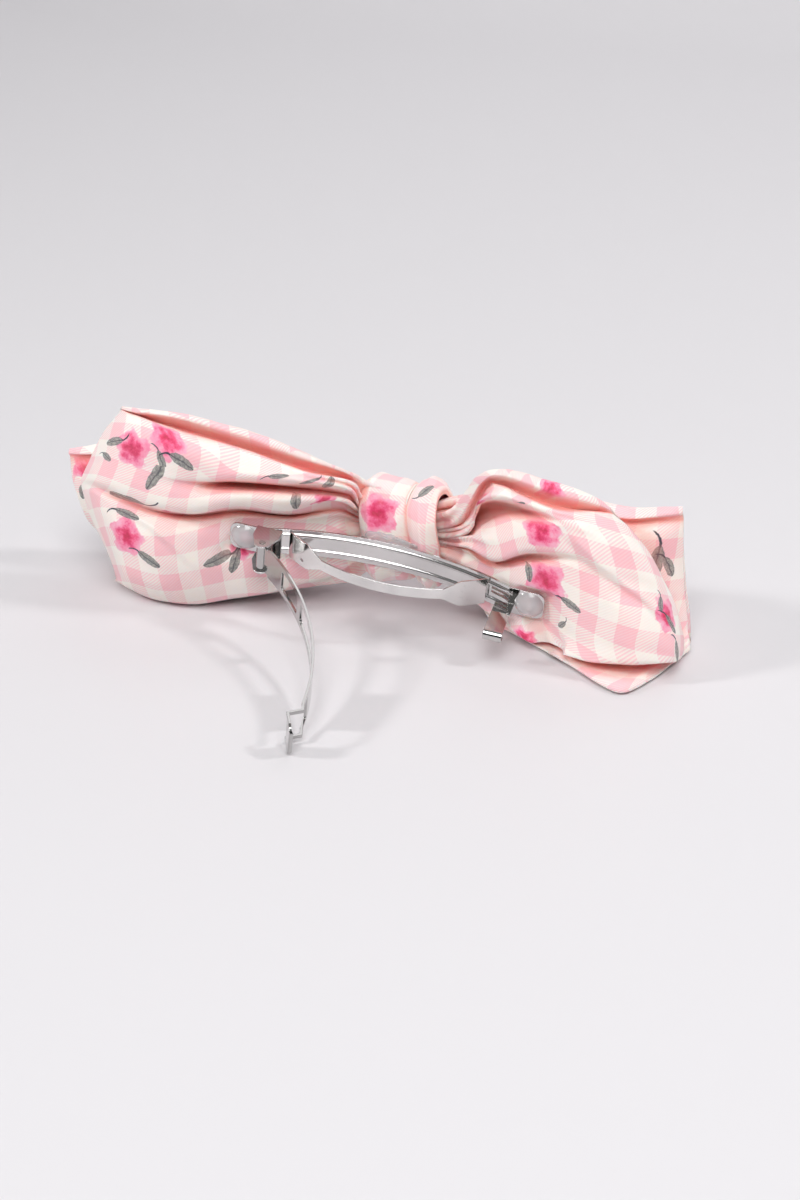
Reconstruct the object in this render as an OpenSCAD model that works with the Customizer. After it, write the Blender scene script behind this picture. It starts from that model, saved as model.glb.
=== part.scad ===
// Fabric bow on a spring-clasp (French) barrette, standing open on a table.
//
// The clip is drawn in its own frame: +X runs from the hinge end to the catch end,
// -Y points away from the bow (the side that takes the hair) and +Z is across the strip.
// stand() then leans and tips the clip as it stands, propped on its open arm.
// The bow is drawn straight in the standing frame: Z = 0 is the table, +Y is the bow's show side.

/* [Stance] */
// Height of the clip's middle above the table
clip_height = 17; // [16:0.5:18]
// Lean of the clip towards its open arm, in degrees
lean = 11; // [10:0.5:12]
// Drop of the catch end below the hinge end, in degrees
roll = 8; // [7:0.5:9]

/* [Barrette] */
// Length over the two glue tabs
clip_length = 80; // [78:1:82]
// Width of the curved base strip
base_w = 7.4; // [6.8:0.1:7.6]
// Thickness of the base sheet
sheet_t = 0.5; // [0.4:0.05:0.6]
// Depth of the base strip's curve
base_sag = 6; // [5:0.5:6.5]
// Length of each flat glue tab
tab_len = 8; // [7:0.5:8.5]
// Radius of the glue hole in each tab
tab_hole_r = 1.6; // [1.2:0.1:2]
// Height of the hinge axis above the tabs
hinge_h = 6; // [5.5:0.25:6.5]
// Distance of the hinge axis from the hinge end
hinge_in = 10; // [9.5:0.5:10.5]
// Radius of the hole in each hinge ear
ear_hole_r = 0.8; // [0.7:0.05:0.9]
// Running clearance of the arm's nibs in the ears
hinge_play = 0.05; // [0.03:0.01:0.08]

/* [Tension spring] */
// Thickness of the leaf
leaf_t = 0.35; // [0.3:0.05:0.4]
// Height of the leaf's crown above the tabs
leaf_crown = 7; // [6:0.5:7.5]
// Width of the leaf's two feet
leaf_foot_w = 7.4; // [6.5:0.1:7.4]
// Width of the leaf between the feet
leaf_w = 2.8; // [2.4:0.1:3.4]

/* [Clasp arm] */
// Width of the arm
arm_w = 8.2; // [7.8:0.1:8.4]
// Thickness of the arm
arm_t = 0.6; // [0.5:0.05:0.7]
// Length of the arm's curved part
arm_len = 61; // [60:0.5:62]
// Depth of the arm's curve
arm_sag = 6.4; // [5.5:0.1:6.8]
// Angle of the open arm at rest from the line of the tabs, in degrees
arm_open = 63; // [60:0.5:64]

/* [Catch] */
// Width of the catch hook along the clip
catch_w = 4.6; // [4.4:0.1:5]
// Height of the catch hook above the tabs
catch_h = 13; // [12.5:0.1:13.4]

/* [Bow] */
// Width of the knot band
knot_w = 17; // [16:0.5:18]
// Thickness of the cloth in the knot band
cloth_t = 1; // [0.8:0.1:1.2]
// Play between folded layers of the bow
layer_gap = 0.3; // [0.2:0.05:0.4]

/* [Hidden] */

// Brings the middle of the whole object's footprint to the origin
place = [8, 19.8, 0];

half_len = clip_length / 2;
tab_x = half_len - tab_len;
half_base = base_w / 2;
// Radius of the base's curve, through its lowest point and the two tab roots
base_r = (tab_x * tab_x + base_sag * base_sag) / (2 * base_sag);
base_turn = asin(tab_x / base_r);
hinge_x = hinge_in - half_len;
ear_out = base_w / 2 + sheet_t - 0.1;
ear_len = 6.4;
ear_tip_r = 2;
// Height up to which an ear keeps its full length, and the rise of its shoulder past the hinge
ear_neck = 3.4;
ear_shoulder = 0.9;
nib_r = ear_hole_r - hinge_play;
barrel_r = 1.3;
bead_r = 0.55;
bead_at = 2.2;
catch_x = 30.4;
catch_at = -1.4;
catch_t = 0.45;
nose_r = 0.95;
base_slot = [5, 0.7];
// How far the catch's shaft is set over, across the clip
shaft_set = 0.35;
// Height at which the shaft starts to set over
shaft_from = 4.6;
catch_lip = 1.1;

leaf_half = 25;
leaf_reach = leaf_half + 1;
// Where the leaf's feet start to narrow, and where its waist begins
leaf_foot_from = 19.5;
leaf_waist_to = 15.5;
leaf_corner = 1;
leaf_hole_r = 0.45;
leaf_end = -base_sag + base_r - sqrt(base_r * base_r - leaf_half * leaf_half) + sheet_t / 2 + 0.85;
leaf_rise = leaf_crown - leaf_end;
leaf_r = (leaf_half * leaf_half + leaf_rise * leaf_rise) / (2 * leaf_rise);

arm_half = arm_len / 2;
arm_r = (arm_half * arm_half + arm_sag * arm_sag) / (2 * arm_sag);
arm_turn = asin(arm_half / arm_r);
window_w = arm_w - 1.7;
window_len = 7.4;
window_at = arm_len + 0.2;
window_corner = 0.6;
arm_rail = 1.4;
// Middle and length of each long slot in the arm, from the hinge
arm_slots = [[15.2, 10.5], [31.5, 17]];
// Room cut beside the arm's root so that it fits between the ears
root_cut = [7, 1.5];

knot_mid = [1, 18.7, 20.6];
knot_half_y = 11;
knot_half_z = 12.4;

// Places a shape drawn in the clip's own frame as the clip stands on the table
module stand() {
    translate([place[0], place[1], clip_height])
        rotate([lean, 0, 0])
            rotate([0, roll, 0])
                children();
}

// Turns a side view (X along the clip, Y away from the bow) into a solid of the given width
module across(width) {
    rotate([180, 0, 0])
        translate([0, 0, -width / 2])
            linear_extrude(width)
                children();
}

// Turns a top view (X along the clip, Y across it) into a solid between two heights off the tabs
module from_above(low, high) {
    rotate([90, 0, 0])
        translate([0, 0, low])
            linear_extrude(high - low)
                children();
}

// A strip's cross-section swept along an arc of the given radius about the strip's own Z
module bent_strip(radius, turn) {
    rotate([0, 0, 90 - turn])
        rotate_extrude(angle = 2 * turn, $fn = 180)
            translate([radius, 0])
                children();
}

module rounded_rect(size, r) {
    translate([r - size[0] / 2, -size[1] / 2])
        square([size[0] - 2 * r, size[1]]);
    translate([-size[0] / 2, r - size[1] / 2])
        square([size[0], size[1] - 2 * r]);
    for (sx = [-1, 1], sy = [-1, 1])
        translate([sx * (size[0] / 2 - r), sy * (size[1] / 2 - r)])
            circle(r, $fn = 32);
}

// Section of the base strip: a flat sheet with two raised beads
module base_section() {
    translate([-sheet_t / 2, -half_base])
        square([sheet_t, base_w]);
    for (side = [-1, 1])
        translate([-sheet_t / 2, side * bead_at])
            circle(bead_r, $fn = 24);
}

module ear_outline() {
    foot = hinge_x - ear_len / 2;
    half_tip = ear_tip_r * 0.9;
    top = hinge_h + ear_shoulder;
    polygon([[foot, -sheet_t / 2], [foot + ear_len, -sheet_t / 2], [foot + ear_len, ear_neck],
             [hinge_x + half_tip, top], [hinge_x - half_tip, top], [foot, ear_neck]]);
    translate([hinge_x, hinge_h])
        circle(ear_tip_r, $fn = 48);
}

// One flat end of the base, with its glue hole
module glue_tab(side) {
    from_above(-sheet_t / 2, sheet_t / 2)
        difference() {
            union() {
                translate([side * (tab_x + tab_len / 2), 0])
                    rounded_rect([tab_len, base_w], 2);
                translate([side * (tab_x + 1), 0])
                    square([4, base_w], center = true);
            }
            translate([side * (half_len - tab_len / 2), 0])
                circle(tab_hole_r, $fn = 48);
        }
}

module base_plate() {
    color("silver")
        stand()
            difference() {
                union() {
                    translate([0, base_sag - base_r, 0])
                        bent_strip(base_r, base_turn)
                            base_section();
                    for (side = [-1, 1])
                        glue_tab(side);
                    for (side = [-1, 1])
                        translate([0, 0, side * (ear_out - sheet_t / 2)])
                            across(sheet_t)
                                ear_outline();
                    // Bridge between the ears
                    from_above(-sheet_t / 2, sheet_t / 2)
                        translate([hinge_x, 0])
                            square([ear_len, 2 * ear_out], center = true);
                }
                translate([hinge_x, -hinge_h, 0])
                    cylinder(h = 4 * ear_out, r = ear_hole_r, center = true, $fn = 48);
                // Two long slots beside the catch
                for (across_at = [-0.1, 1.1])
                    translate([catch_x - 1.6, 0, across_at])
                        rotate([90, 0, 0])
                            linear_extrude(8, center = true)
                                rounded_rect(base_slot, 0.3);
            }
}

// Plan of the leaf spring: two wide feet and a narrow waist
module leaf_plan() {
    foot_w = leaf_foot_w / 2;
    quarter = [[leaf_waist_to, leaf_w / 2], [leaf_foot_from, foot_w],
               [leaf_reach - leaf_corner, foot_w], [leaf_reach, foot_w - leaf_corner]];
    half = concat(quarter, [for (i = [len(quarter) - 1:-1:0]) [quarter[i][0], -quarter[i][1]]]);
    polygon(concat(half, [for (p = half) [-p[0], -p[1]]]));
}

module tension_spring() {
    color("gainsboro")
        stand()
            intersection() {
                translate([0, leaf_r - leaf_crown, 0])
                    rotate([0, 0, 180])
                        bent_strip(leaf_r, asin(leaf_half / leaf_r))
                            square([leaf_t, leaf_foot_w + 1], center = true);
                from_above(-8, 12)
                    difference() {
                        leaf_plan();
                        translate([-21, -1.8])
                            circle(leaf_hole_r, $fn = 24);
                    }
            }
}

// Plan of the arm, X from the hinge: two long slots, a web and the catch window
module arm_plan() {
    difference() {
        translate([0, -arm_w / 2])
            square([arm_len + 12, arm_w]);
        for (side = [-1, 1])
            translate([0, side * (arm_w / 2 + 0.15)])
                square(root_cut, center = true);
        for (slot = arm_slots)
            translate([slot[0], 0])
                rounded_rect([slot[1], arm_w - 2 * arm_rail], 1);
        translate([window_at, 0])
            rounded_rect([window_len, window_w], window_corner);
    }
}

// Side view of the tip: a step up and a finger lip, X from the hinge, Y outward
module arm_tip_side() {
    polygon([[arm_len - 0.4, -0.45], [arm_len + 2.4, 0.1], [arm_len + 3, 3.6], [arm_len + 8.4, 3.9],
             [arm_len + 8.8, 3.6], [arm_len + 8.9, 4.2], [arm_len + 8.4, 4.5], [arm_len + 2.5, 4.2],
             [arm_len + 1.8, 0.6], [arm_len - 0.4, 0.15]]);
}

// The arm lying closed along +X, hinge axis through the origin along Z
module arm_closed() {
    union() {
        intersection() {
            translate([arm_half, arm_sag - arm_r, 0])
                bent_strip(arm_r, arm_turn)
                    square([arm_t, arm_w], center = true);
            rotate([90, 0, 0])
                linear_extrude(40, center = true)
                    arm_plan();
        }
        intersection() {
            across(arm_w)
                arm_tip_side();
            rotate([90, 0, 0])
                linear_extrude(40, center = true)
                    difference() {
                        translate([arm_len + 2, 0])
                            rounded_rect([14, arm_w], 2.4);
                        translate([window_at, 0])
                            rounded_rect([window_len, window_w], window_corner);
                    }
        }
        cylinder(h = base_w - 0.4, r = barrel_r, center = true, $fn = 48);
        cylinder(h = 2 * ear_out + 0.2, r = nib_r, center = true, $fn = 48);
    }
}

module clasp_arm() {
    color("silver")
        stand()
            translate([hinge_x, -hinge_h, 0])
                rotate([0, 0, -arm_open])
                    arm_closed();
}

// Side view of the catch, X outward from the tabs, Y across the clip: a tongue with a curled nose
module catch_profile() {
    root = sheet_t / 2 + 0.05;
    shaft = catch_h - nose_r - catch_t;
    shaft_at = catch_at - shaft_set;
    polygon([[root, catch_at + catch_t], [root, catch_at], [shaft_from, catch_at], [shaft, shaft_at],
             [shaft, shaft_at + catch_t], [shaft_from, catch_at + catch_t]]);
    translate([shaft, shaft_at - nose_r])
        intersection() {
            difference() {
                circle(nose_r + catch_t, $fn = 48);
                circle(nose_r, $fn = 48);
            }
            translate([0, -2 * nose_r])
                square([2 * nose_r, 4 * nose_r]);
        }
    // Lip that the arm's rail sits under
    translate([shaft - catch_lip, shaft_at - 2 * nose_r - catch_t])
        square([catch_lip + 0.05, catch_t]);
}

module catch_hook() {
    color("silver")
        stand()
            translate([catch_x - catch_w / 2, 0, 0])
                multmatrix([[0, 0, 1, 0], [-1, 0, 0, 0], [0, 1, 0, 0]])
                    linear_extrude(catch_w)
                        catch_profile();
}

// A set drop of clear glue over a tab, with a plug through the tab's hole
module glue_dome(side) {
    dome_r = 3.6;
    dome_h = 1.9;
    ball_r = (dome_r * dome_r + dome_h * dome_h) / (2 * dome_h);
    top = sheet_t / 2;
    color([0.95, 0.93, 0.95, 0.6])
        stand()
            translate([side * (half_len - tab_len / 2 + 0.3), 0, 0])
                rotate([90, 0, 0]) {
                    intersection() {
                        translate([0, 0, top + dome_h - ball_r])
                            sphere(ball_r, $fn = 64);
                        translate([0, 0, top])
                            cylinder(h = dome_h + 1, r = dome_r + 1, $fn = 64);
                    }
                    translate([-side * 0.3, 0, -top])
                        cylinder(h = 2 * top, r = tab_hole_r, $fn = 48);
                }
}

module glue_dome_left() {
    glue_dome(-1);
}

module glue_dome_right() {
    glue_dome(1);
}

// Pad of glue between the middle of the base and the knot band
module glue_pad_center() {
    color([0.95, 0.93, 0.95, 0.6])
        stand()
            intersection() {
                translate([0, base_sag - base_r, 0])
                    bent_strip(base_r + sheet_t / 2 + 0.4, 6)
                        square([0.6, 5.6], center = true);
                from_above(-12, 4)
                    rounded_rect([16, 5.6], 2);
            }
}

// Points of one rounded section of a loop: st is [x, mid y, mid z, half depth, half height].
// A sixth number pulls the bottom edge out along the table as a low foot, towards -Y.
function ring(st, squareness, count) =
    [for (i = [0:count - 1])
        let (a = 360 * i / count, c = cos(a), s = sin(a),
             foot = len(st) > 5 && a > 250 && a < 280 ? st[5] : 0)
            [st[0],
             st[1] + st[3] * sign(c) * pow(abs(c), squareness) - foot,
             foot > 0 && a < 260 ? foot_h : st[2] + st[4] * sign(s) * pow(abs(s), squareness)]];

// A closed solid through a row of rounded sections, given from low X to high X
module pillow(stations, squareness = 0.8, count = 24) {
    rings = len(stations);
    points = [for (st = stations) each ring(st, squareness, count)];
    side = [for (k = [0:rings - 2], i = [0:count - 1])
        let (a = k * count + i, b = k * count + (i + 1) % count)
            each [[a, b, b + count], [a, b + count, a + count]]];
    first = [for (i = [1:count - 2]) [0, i + 1, i]];
    top = (rings - 1) * count;
    last = [for (i = [1:count - 2]) [top, top + i, top + i + 1]];
    polyhedron(points, concat(side, first, last));
}

// Height of the low foot where the right loop spreads on the table
foot_h = 2.4;
// Sections of each layer of loops, from the hinge end to the catch end
back_loops = [
    [-81, 7, 29, 1, 9], [-78, 7, 28, 4, 16], [-70, 7, 26, 6, 23], [-56, 7.2, 25.2, 6.2, 25.2],
    [-38, 7.4, 24.4, 6.2, 22.6], [-27, 8.8, 24, 5.2, 19.5], [-17, 11.4, 22, 3.8, 14],
    [-9, 13.5, 20.4, 2.7, 7.8], [11, 13.5, 20.4, 2.7, 7.8], [18, 11.4, 21, 4.8, 15],
    [28, 9.4, 24, 5.2, 18.5], [40, 7.4, 24.5, 5.2, 19.2], [50, 2.6, 23, 8, 18],
    [60, -0.8, 20.5, 8.6, 15.5], [69, -2, 17, 7.2, 11.8], [75, -3, 13.4, 3.6, 6.5]];
front_loops = [
    [-91, 19, 24, 1.6, 10], [-86, 19.4, 21.5, 4.6, 15], [-72, 21, 19.6, 6.6, 19.2], [-50, 21.6, 20.4, 7, 20],
    [-25, 22, 19, 6.8, 17], [-13, 21.8, 17.6, 4.4, 12], [-9, 21.4, 20.2, 3.8, 7.8],
    [11, 21.4, 20.2, 3.8, 7.8], [17, 22.2, 17.6, 4.4, 13], [30, 22.8, 18.8, 6.2, 17.6],
    [38, 22.2, 18.6, 7.2, 18, 0.5], [45, 21.8, 18.2, 8, 18.2, 9], [52, 20.6, 18, 7.8, 18, 22],
    [61, 19, 17.6, 7.4, 17.6, 35], [64, 18.6, 17.4, 7, 17.4, 29], [70, 17.4, 17.2, 6, 16, 12],
    [73, 16.4, 17, 2, 9]];

module back_bow_loops() {
    color("pink")
        translate(place)
            pillow(back_loops);
}

module front_bow_loops() {
    color("lightpink")
        translate(place)
            pillow(front_loops);
}

// Outline of the knot band at a distance inside its outer face, in Y and Z
module knot_outline(inset) {
    count = 40;
    polygon([for (i = [0:count - 1])
        let (a = 360 * i / count, c = cos(a), s = sin(a))
            [(knot_half_y - inset) * sign(c) * pow(abs(c), 0.8),
             (knot_half_z - inset) * sign(s) * pow(abs(s), 0.8)]]);
}

module knot_band() {
    color("mistyrose")
        translate(place + knot_mid)
            rotate([90, 0, 90])
                translate([0, 0, -knot_w / 2])
                    linear_extrude(knot_w)
                        difference() {
                            knot_outline(0);
                            knot_outline(cloth_t);
                        }
}

// Four hidden turns of thread that gather both layers at the waist
module gathering_thread() {
    thread_r = 0.2;
    count = 32;
    inset = cloth_t + layer_gap + thread_r;
    color("white")
        for (turn = [0:3])
            translate(place + knot_mid + [(turn - 1.5) * 1.1, 0, 0])
                rotate([90, 0, 90])
                    linear_extrude(2 * thread_r, center = true)
                        difference() {
                            knot_outline(inset);
                            knot_outline(inset + 2 * thread_r);
                        }
}

base_plate();
tension_spring();
clasp_arm();
catch_hook();
glue_dome_left();
glue_dome_right();
glue_pad_center();
back_bow_loops();
front_bow_loops();
knot_band();
gathering_thread();
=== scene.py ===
"""Looks of the fabric bow barrette: cloth, glue, metal finishes, light and camera.

Lengths are in mm, and points are the shared frame's less PLACE, unless a comment says otherwise.
"""
import math

import bmesh
import bpy
import numpy as np
from mathutils import Matrix, Vector, noise
from mathutils.bvhtree import BVHTree


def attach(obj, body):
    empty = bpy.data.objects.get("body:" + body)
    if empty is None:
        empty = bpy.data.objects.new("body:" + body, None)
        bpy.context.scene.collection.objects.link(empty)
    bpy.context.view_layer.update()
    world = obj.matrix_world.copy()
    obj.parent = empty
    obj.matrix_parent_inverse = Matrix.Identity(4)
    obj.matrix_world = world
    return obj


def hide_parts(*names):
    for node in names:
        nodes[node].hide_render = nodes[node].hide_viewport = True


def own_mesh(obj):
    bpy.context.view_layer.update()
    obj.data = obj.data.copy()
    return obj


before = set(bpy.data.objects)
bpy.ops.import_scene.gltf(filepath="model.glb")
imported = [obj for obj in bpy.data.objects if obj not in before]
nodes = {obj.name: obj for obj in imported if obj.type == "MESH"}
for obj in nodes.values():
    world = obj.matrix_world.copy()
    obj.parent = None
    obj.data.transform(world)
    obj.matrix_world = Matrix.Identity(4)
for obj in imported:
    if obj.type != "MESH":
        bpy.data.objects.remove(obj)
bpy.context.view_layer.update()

MM = 0.001
PLACE = np.array([8.0, 19.8, 0.0])
CAMERA = (171.8, -576.3, 289.3)
TARGET = (-2.0, 19.3, 0.0)
ROOT = "barrette"

# ---------------------------------------------------------------- clip frame
LEAN, ROLL = math.radians(11), math.radians(8)
CLIP = np.array(Matrix.Rotation(LEAN, 3, "X") @ Matrix.Rotation(ROLL, 3, "Y"))
CLIP_AT = np.array([0, 0, 17.0])
SAG, TAB_X = 6.0, 32.0  # rise of the base's arc, and the half length over which it is curved
BASE_R = (TAB_X**2 + SAG**2) / (2 * SAG)
BASE_REACH, BASE_EDGE = 40.5, 4.4  # half length and half width of the base, with a little room


def to_clip(p):
    """From the standing frame to the clip's own: along, towards the bow, across."""
    return (p - CLIP_AT) @ CLIP


def from_clip(p):
    return p @ CLIP.T + CLIP_AT


def base_depth(along):
    a = np.minimum(np.abs(along), TAB_X)
    return SAG - (BASE_R - np.sqrt(BASE_R**2 - a**2))


def clear_base(p, gap=0.75, margin=7, slope=1.15):
    """Moves cloth back so that it lies against the base and never through it."""
    c = to_clip(p)
    past_end = np.maximum(np.abs(c[:, 0]) - BASE_REACH, 0)
    past_side = np.maximum(np.abs(c[:, 2]) - BASE_EDGE, 0)
    over = np.hypot(past_end, past_side)
    need = base_depth(c[:, 0]) + gap - slope * over
    near = (over < margin) & (c[:, 1] < need)
    c[near, 1] = need[near]
    return from_clip(c)


# ---------------------------------------------------------------- seen points
SIGHT = np.array(TARGET) - np.array(CAMERA)
SEEN_Y = 5  # the upright plane on which seen points are given


def seen(x, z, y):
    """A point that shows at (x, z) of the plane y = SEEN_Y, moved along the line of sight to depth y."""
    k = (y - SEEN_Y) / SIGHT[1]
    return (x + SIGHT[0] * k, y, z + SIGHT[2] * k)


def front(rows):
    return [[seen(*p) for p in row] for row in rows]


# ---------------------------------------------------------------- cloth surfaces
def catmull(a, b, c, d, steps):
    """Points of a Catmull-Rom curve from b up to c."""
    return [0.5 * (2 * b + (c - a) * t + (2 * a - 5 * b + 4 * c - d) * t**2
                   + (3 * b - a - 3 * c + d) * t**3) for t in np.arange(steps) / steps]


def spline(points, steps):
    """An open curve through rows of points along the first axis."""
    p = np.asarray(points, float)
    p = np.concatenate([[2 * p[0] - p[1]], p, [2 * p[-1] - p[-2]]])
    out = []
    for a, b, c, d in zip(p, p[1:], p[2:], p[3:]):
        out += catmull(a, b, c, d, steps)
    return np.array(out + [p[-2]])


def closed_spline(points, steps):
    """A curve through rows of points along the first axis, and back to the first."""
    p = np.asarray(points, float)
    out = []
    for a, b, c, d in zip(*(np.roll(p, k, 0) for k in (1, 0, -1, -2))):
        out += catmull(a, b, c, d, steps)
    return np.array(out)


def eased(a, reach, axis, mode):
    """Running mean over reach places either way along one axis of a grid."""
    pad = [(0, 0), (0, 0)]
    pad[axis] = (reach, reach)
    wide = np.pad(a, pad, mode=mode)
    count = a.shape[axis]
    return sum(np.take(wide, range(k, k + count), axis) for k in range(2 * reach + 1)) / (2 * reach + 1)


def wing(rails, along, around, zero, seam):
    """A grid [around, along, 3] through rails that run from the waist to the end.

    It comes with its flat-cloth lengths: u out from the waist, v round the loop from rail zero, and
    step_v to the next point round. The cloth's two edges meet at rail seam.
    """
    g = closed_spline([spline(rail, along) for rail in rails], around)
    first = seam * around
    step_v = np.linalg.norm(np.roll(g, -1, 0) - g, axis=2)
    v = np.roll(np.cumsum(np.roll(step_v, -first, 0), 0), first, 0) - step_v
    v = v - v[zero * around]
    step_u = np.linalg.norm(np.diff(g, axis=1), axis=2)
    u = np.concatenate([np.zeros((len(g), 1)), np.cumsum(step_u, 1)], 1)
    u = eased(eased(u, around, 0, "wrap"), around, 0, "wrap")
    v, step_v = (eased(eased(a, along // 2, 1, "edge"), along // 2, 1, "edge") for a in (v, step_v))
    return g, u, v, step_v


def grid_normals(g):
    du = np.gradient(g, axis=1)
    dv = np.roll(g, -1, 0) - np.roll(g, 1, 0)
    n = np.cross(du, dv)
    return n / np.maximum(np.linalg.norm(n, axis=2, keepdims=True), 1e-9)


LUMP_U, LUMP_V = 17, 8  # length of the cloth's soft lumps, out from the waist and round the loop
STILL_END = 6  # the length at a loop's end over which pleats and lumps die away


def wrinkle(g, u, v, side, pleats, reach, depth, seed):
    """Gathers that run out from the waist, and the soft unevenness of worked cloth."""
    a = np.arange(len(g))[:, None] / len(g)
    rng = np.random.default_rng(seed)
    wave = np.zeros_like(u)
    for k in pleats:
        phase = rng.uniform(0, 6.28)
        wave += np.sin(2 * np.pi * k * a + phase + 0.6 * np.sin(u / 9 + phase)) / len(pleats)
    wave = np.sign(wave) * np.abs(wave) ** 0.8
    fade = np.exp(-((u / reach) ** 1.4)) * np.clip(u / 3.0, 0.35, 1)
    soft = np.empty_like(u)
    for i, j in np.ndindex(u.shape):
        p = Vector((u[i, j] / LUMP_U + seed, v[i, j] / LUMP_V, seed * 3.7))
        soft[i, j] = noise.noise(p) * 0.42 + noise.noise(p * 2.3) * 0.16
    still = np.clip((u.max(1, keepdims=True) - u) / STILL_END, 0, 1)
    return g + side * grid_normals(g) * ((depth * wave * fade + soft) * still)[..., None]


def crease(g, line, depth, width, back=11):
    """Presses a soft fold along a line of seen points (x, z) into the cloth that lies nearer than back."""
    flat = g.reshape(-1, 3).copy()
    k = (flat[:, 1] - SEEN_Y) / SIGHT[1]
    q = np.stack([flat[:, 0] - SIGHT[0] * k, flat[:, 2] - SIGHT[2] * k], 1)
    best = np.full(len(q), 1e9)
    side = np.zeros(len(q))
    fade = np.zeros(len(q))
    points = np.array(line, float)
    for i, (a, b) in enumerate(zip(points, points[1:])):
        d = b - a
        t = np.clip(((q - a) @ d) / (d @ d), 0, 1)
        off = q - a - t[:, None] * d
        gap = np.hypot(off[:, 0], off[:, 1])
        closer = gap < best
        best[closer] = gap[closer]
        side[closer] = np.sign(d[0] * off[:, 1] - d[1] * off[:, 0])[closer]
        run = (i + t) / (len(points) - 1)
        fade[closer] = np.sin(np.pi * np.clip(run[closer], 0.02, 0.98)) ** 0.5
    push = depth * fade * np.exp(-((best / width) ** 2))
    push = push * np.where(side > 0, -0.9, 1.0) * np.minimum(best / width * 2, 1)
    flat[:, 1] += push * (flat[:, 1] < back)
    return flat.reshape(g.shape)


def keep_above(g, low=0.25):
    """Eases cloth that comes near the floor so that it stays above it."""
    z = g[..., 2]
    g[..., 2] = np.where(z < low + 1, low + np.exp(np.minimum(z - low - 1, 0)), z)
    return g


def place_mesh(me, material):
    """Makes a mesh smooth, gives it its material and stands it in the scene as an object of the same name."""
    for p in me.polygons:
        p.use_smooth = True
    me.materials.append(material)
    ob = bpy.data.objects.new(me.name, me)
    bpy.context.scene.collection.objects.link(ob)
    return ob


PRINT_SCALE = {"rose": 1.4, "leaf": 1.22, "sprig": 1.22}


def mesh_of(name, grids, prints, material, seed):
    """One mesh from grids that close round. Each face has its flat-cloth lengths and its place on a print,
    and each point its painted shade.
    """
    verts, faces, flats, corners, folds = [], [], [], [], []
    for g, u, v, v_next, painted_shade in grids:
        here, beyond = np.stack([u, v], 2), np.stack([np.roll(u, -1, 0), v_next], 2)
        quads = np.stack([here[:, :-1], beyond[:, :-1], beyond[:, 1:], here[:, 1:]], 2)
        at = len(verts) + np.arange(u.size).reshape(u.shape)
        after_it = np.roll(at, -1, 0)
        ring = np.stack([at[:, :-1], after_it[:, :-1], after_it[:, 1:], at[:, 1:]], 2)
        if (grid_normals(g) * (g - g.mean(0))).sum() > 0:
            quads, ring = quads[:, :, ::-1], ring[:, :, ::-1]
        verts += [tuple((p + PLACE) * MM) for p in g.reshape(-1, 3)]
        faces += ring.reshape(-1, 4).tolist()
        flats.append(here.reshape(-1, 2))
        corners.append(quads.reshape(-1, 2))
        folds.append(painted_shade.ravel())
    flats, corners, folds = (np.concatenate(a) for a in (flats, corners, folds))
    me = bpy.data.meshes.new(name)
    me.from_pydata(verts, [], faces)
    me.update()
    me.uv_layers.new(name="flat").data.foreach_set("uv", corners.ravel())
    # fold holds the painted shade of each point, from 0 to 1
    me.attributes.new("fold", "FLOAT", "POINT").data.foreach_set("value", folds)
    centre = corners.reshape(-1, 4, 2).mean(1)
    rng = np.random.default_rng(seed)
    xyz = np.array(verts) / MM - PLACE
    for kind, spots in prints.items():
        rows = []
        for spot, radius, turn in spots:
            hit = np.argmin(((xyz - np.array(spot)) ** 2).sum(1))
            rows.append((*flats[hit], radius * PRINT_SCALE[kind], turn, rng.uniform(0, 9)))
        rows = np.array(rows)
        d = centre[:, None, :] - rows[None, :, :2]
        pick = (np.hypot(d[..., 0], d[..., 1]) / rows[None, :, 2]).argmin(1)
        u0, v0, radius, turn, shift = np.repeat(rows[pick], 4, 0).T
        du, dv, turn = corners[:, 0] - u0, corners[:, 1] - v0, np.radians(turn)
        x = (du * np.cos(turn) + dv * np.sin(turn)) / radius
        y = (dv * np.cos(turn) - du * np.sin(turn)) / radius
        att = me.attributes.new(kind, "FLOAT_VECTOR", "CORNER")
        att.data.foreach_set("vector", np.stack([x, y, shift], 1).ravel().astype(np.float32))
    return place_mesh(me, material)


def paint_hollow_shade(pieces, reach=0.011, lift=0.0003, rays=14):
    """Adds painted shade to each point's fold value, by how far the cloth round it closes it in. Reach and
    lift are in m.
    """
    verts, faces = [], []
    for ob in pieces:
        start = len(verts)
        verts += [v.co.copy() for v in ob.data.vertices]
        faces += [[start + i for i in f.vertices] for f in ob.data.polygons]
    tree = BVHTree.FromPolygons(verts, faces)
    golden = math.pi * (3 - math.sqrt(5))
    spread = []
    for i in range(rays):
        up = 1 - 2 * (i + 0.5) / (2 * rays)
        level = math.sqrt(1 - up * up)
        spread.append(Vector((level * math.cos(golden * i), level * math.sin(golden * i), up)))
    for ob in pieces:
        att = ob.data.attributes["fold"]
        painted_shade = np.empty(len(ob.data.vertices))
        att.data.foreach_get("value", painted_shade)
        for i, v in enumerate(ob.data.vertices):
            start = v.co + v.normal * lift
            out = [d if d.dot(v.normal) > 0 else -d for d in spread]
            shut = sum(tree.ray_cast(start, d, reach)[0] is not None for d in out) / rays
            # painted shade grows with how shut in the point is
            painted_shade[i] = max(painted_shade[i], min(max((shut - 0.18) / 0.6, 0), 1) * 0.85)
        att.data.foreach_set("value", painted_shade)


# ---------------------------------------------------------------- materials
def lin(r, g, b):
    """A screen colour as the linear one that shaders take."""
    f = lambda c: c / 12.92 if c <= 0.04045 else ((c + 0.055) / 1.055) ** 2.4
    return (f(r), f(g), f(b), 1)


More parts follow.
